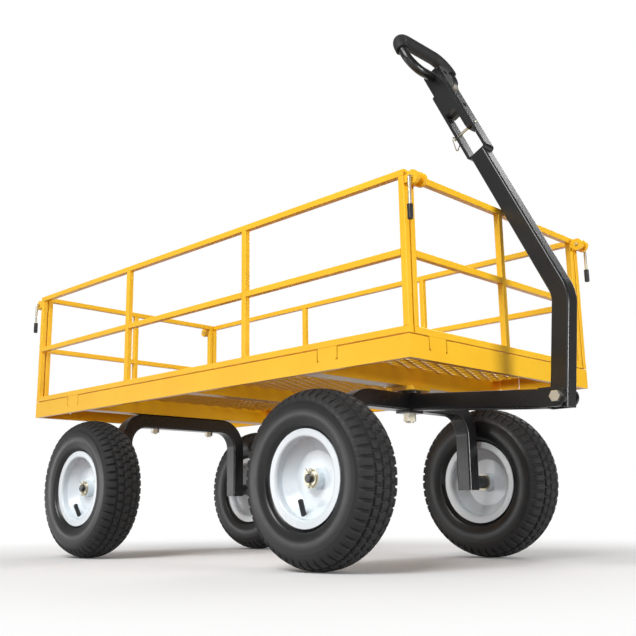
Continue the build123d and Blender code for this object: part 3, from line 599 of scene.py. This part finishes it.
class WAGON_OT_split_pins(bpy.types.Operator):
    """Bend the split pins that hold the wheels on their spindles"""

    bl_idname = "wagon.split_pins"
    bl_label = "Bend the split pins"

    def execute(self, context):
        thick = context.scene.wagon_fittings.pin_wire / 2
        flat = (1, 0, 0)
        for axle, body in (("front", "front_truck"), ("rear", "chassis")):
            low, high = box_of(f"{axle}_cotter_pins")
            rim_low, rim_high = box_of(f"{axle}_right_rim")
            x = (low[0] + high[0]) / 2
            z = rim_low[2] / 2 + rim_high[2] / 2
            grids = []
            for side in (-1, 1):
                y = side * (high[1] - HOLE_INSET * MM)
                # Two legs stand up through the hole, one bent far outward, and a half round eye hangs below
                for bend in LEG_OUT * MM:
                    ends = np.stack([np.full(len(bend), x), y + side * bend, z + LEG_LIFT * MM], -1)
                    grids.append((wire(curve_through(ends, LEG_RINGS), flat, thick), False, True))
                turn = np.linspace(0, np.pi, EYE_RINGS)
                eye_y = y + LEG_OUT[0, 0] * MM * np.cos(turn)
                eye_z = z + LEG_LIFT[0] * MM - EYE_DEPTH * MM * np.sin(turn)
                eye = np.stack([np.full(EYE_RINGS, x), eye_y, eye_z], -1)
                grids.append((wire(eye, flat, thick), False, True))
            piece = joined_grids(f"{axle}_split_pins", grids)
            finish_piece(piece, "zinc_plate", body, "zinc", f"{axle}_cotter_pins", crease=0.9)
        return {"FINISHED"}


# Studio


def lay_floor(studio):
    """White paper: it takes the wagon's shade near by and turns to plain white further off.

    The eye and mirrors see the paper. Only the light that it throws up at the wagon is dark and warm.
    """
    edge = 9.0
    corners = np.array([[[-edge, -edge, 0], [edge, -edge, 0]], [[-edge, edge, 0], [edge, edge, 0]]], float)
    floor = joined_grids("studio_floor", [(corners, False, False)])
    material, tree, surface = blank_material("white_paper")
    surface.inputs["Base Color"].default_value = linear(studio.bounce)
    surface.inputs["Roughness"].default_value = 0.9
    rays = add_node(tree, "ShaderNodeLightPath").outputs
    paper = add_node(tree, "ShaderNodeBsdfDiffuse", {"Color": linear(studio.paper)})
    glow = add_node(tree, "ShaderNodeEmission", {"Strength": studio.glow})
    white = add_node(tree, "ShaderNodeEmission", {"Strength": 1.0})
    shaded = add_node(tree, "ShaderNodeAddShader", links={0: paper.outputs[0], 1: glow.outputs[0]})
    place = add_node(tree, "ShaderNodeTexCoord").outputs["Object"]
    far = add_node(tree, "ShaderNodeVectorMath", {"operation": "LENGTH"}, {0: place}).outputs["Value"]
    fade = add_node(
        tree,
        "ShaderNodeMapRange",
        {"From Min": studio.fade_start, "From Max": studio.fade_end, "interpolation_type": "SMOOTHSTEP"},
        {"Value": far},
    )
    seen = add_node(
        tree,
        "ShaderNodeMixShader",
        links={0: fade.outputs[0], 1: shaded.outputs[0], 2: white.outputs[0]},
    )
    mirrored = add_node(
        tree,
        "ShaderNodeMath",
        {"operation": "MAXIMUM"},
        {0: rays["Is Glossy Ray"], 1: rays["Is Transmission Ray"]},
    )
    watched = add_node(
        tree,
        "ShaderNodeMath",
        {"operation": "MAXIMUM"},
        {0: rays["Is Camera Ray"], 1: mirrored.outputs[0]},
    )
    either = add_node(
        tree,
        "ShaderNodeMixShader",
        links={0: watched.outputs[0], 1: surface.outputs[0], 2: seen.outputs[0]},
    )
    tree.links.new(either.outputs[0], tree.nodes["Material Output"].inputs["Surface"])
    floor.data.materials.append(material)


def light_room(scene, studio):
    """The room is bright on the wagon's right and dim on its left.

    What is behind the wagon is white to the eye and in reflections.
    """
    world = bpy.data.worlds.new("studio_room")
    world.use_nodes = True
    tree = world.node_tree
    back = tree.nodes["Background"]
    back.inputs["Color"].default_value = (1.0, 1.0, 1.0, 1.0)
    way = add_node(tree, "ShaderNodeTexCoord").outputs["Generated"]
    rays = add_node(tree, "ShaderNodeLightPath").outputs
    # Each line: a direction, and how nearly a ray follows it where the change begins and where it ends
    toward = {}
    for name, axis, start, stop in (
        ("right", (-0.45, -0.85, 0.27), -0.2, 1.0),
        ("behind", (-0.69, 0.69, 0.21), 0.55, 0.95),
    ):
        facing = add_node(tree, "ShaderNodeVectorMath", {"operation": "DOT_PRODUCT", 1: axis}, {0: way})
        toward[name] = add_node(
            tree,
            "ShaderNodeMapRange",
            {"From Min": start, "From Max": stop, "interpolation_type": "SMOOTHSTEP"},
            {"Value": facing.outputs["Value"]},
        )
    toward["right"].inputs["To Min"].default_value = studio.dim
    toward["right"].inputs["To Max"].default_value = studio.bright
    mirrored = add_node(
        tree,
        "ShaderNodeMath",
        {"operation": "MAXIMUM"},
        {0: rays["Is Glossy Ray"], 1: rays["Is Transmission Ray"]},
    )
    mirrored = add_node(
        tree,
        "ShaderNodeMath",
        {"operation": "MULTIPLY"},
        {0: mirrored.outputs[0], 1: toward["behind"].outputs[0]},
    )
    shown = add_node(
        tree,
        "ShaderNodeMath",
        {"operation": "MAXIMUM"},
        {0: mirrored.outputs[0], 1: rays["Is Camera Ray"]},
    )
    strength = add_node(
        tree,
        "ShaderNodeMath",
        {"operation": "MAXIMUM"},
        {0: shown.outputs[0], 1: toward["right"].outputs[0]},
    )
    tree.links.new(strength.outputs[0], back.inputs["Strength"])
    scene.world = world


def hang_lamps(scene, studio):
    """Five soft area lights; each line gives a name, place, aim, width and height in metres, and power."""
    for name, spot, aim, size, power in (
        ("key_light", (0.7, -3.3, 3.1), (-0.1, 0.0, 0.4), (2.2, 2.2), studio.key),
        ("side_light", (-3.0, -3.2, 0.3), (0.0, -0.3, 0.2), (2.4, 0.5), studio.side),
        ("left_light", (-0.6, 3.2, 2.2), (0.0, 0.0, 0.4), (2.0, 2.0), studio.fill),
        ("front_light", (3.8, 0.4, 0.5), (0.3, 0.0, 0.4), (1.4, 0.7), studio.front),
        ("near_light", (2.9, -3.1, 1.0), (0.1, -0.2, 0.3), (1.4, 1.4), studio.near),
    ):
        lamp = bpy.data.lights.new(name, "AREA")
        lamp.shape = "RECTANGLE"
        lamp.size, lamp.size_y = size
        lamp.energy = power
        light = bpy.data.objects.new(name, lamp)
        light.location = spot
        light.rotation_euler = (Vector(aim) - Vector(spot)).to_track_quat("-Z", "Y").to_euler()
        scene.collection.objects.link(light)


def set_camera(scene):
    """The camera, as solved from the bed's edges and the wheels in the photograph."""
    lens = bpy.data.cameras.new("photo_camera")
    lens.sensor_width = 36.0
    lens.lens = 48.905
    lens.shift_x = 0.02874
    lens.shift_y = 0.00544
    # Its angles in degrees, and its place in metres: ahead of the bed's middle, to its left, above ground
    yaw, pitch, roll = np.radians([135.306, 12.161, -0.638])
    ahead_of_bed, to_left, above_ground = 1.511004, -1.4285, 0.1133
    low, high = box_of("right_skirt")
    ahead = np.array([np.cos(pitch) * np.cos(yaw), np.cos(pitch) * np.sin(yaw), np.sin(pitch)])
    level_right = np.array([np.sin(yaw), -np.cos(yaw), 0.0])
    level_up = np.cross(level_right, ahead)
    right = level_right * np.cos(roll) + level_up * np.sin(roll)
    up = level_up * np.cos(roll) - level_right * np.sin(roll)
    turn = np.eye(4)
    turn[:3, 0], turn[:3, 1], turn[:3, 2] = right, up, -ahead
    turn[:3, 3] = ((low[0] + high[0]) / 2 + ahead_of_bed, to_left, above_ground)
    camera = bpy.data.objects.new("photo_camera", lens)
    camera.matrix_world = Matrix(turn.tolist())
    scene.collection.objects.link(camera)
    scene.camera = camera


class WAGON_OT_studio(bpy.types.Operator):
    """Set the pale floor, the soft lights and the camera"""

    bl_idname = "wagon.studio"
    bl_label = "Set the studio"

    def execute(self, context):
        scene = context.scene
        scene.view_settings.view_transform = "Standard"
        lay_floor(scene.wagon_studio)
        light_room(scene, scene.wagon_studio)
        hang_lamps(scene, scene.wagon_studio)
        set_camera(scene)
        return {"FINISHED"}


class WAGON_PT_panel(bpy.types.Panel):
    """Lists the wagon's steps in the sidebar"""

    bl_idname = "WAGON_PT_panel"
    bl_label = "Hand Wagon"
    bl_space_type = "VIEW_3D"
    bl_region_type = "UI"
    bl_category = "Wagon"

    def draw(self, context):
        for step in STEPS:
            self.layout.operator(step.bl_idname)


GROUPS = {
    "wagon_finishes": WagonFinishes,
    "wagon_deck": WagonDeck,
    "wagon_tyre": WagonTyre,
    "wagon_fittings": WagonFittings,
    "wagon_studio": WagonStudio,
}
STEPS = (WAGON_OT_finishes, WAGON_OT_deck, WAGON_OT_tyres, WAGON_OT_split_pins, WAGON_OT_studio)


def register():
    for name, kind in GROUPS.items():
        bpy.utils.register_class(kind)
        setattr(bpy.types.Scene, name, bpy.props.PointerProperty(type=kind))
    for step in (*STEPS, WAGON_PT_panel):
        bpy.utils.register_class(step)


def unregister():
    for step in (WAGON_PT_panel, *reversed(STEPS)):
        bpy.utils.unregister_class(step)
    for name, kind in GROUPS.items():
        delattr(bpy.types.Scene, name)
        bpy.utils.unregister_class(kind)


def main():
    register()
    for step in STEPS:
        group, name = step.bl_idname.split(".")
        getattr(getattr(bpy.ops, group), name)()


if __name__ == "__main__":
    main()
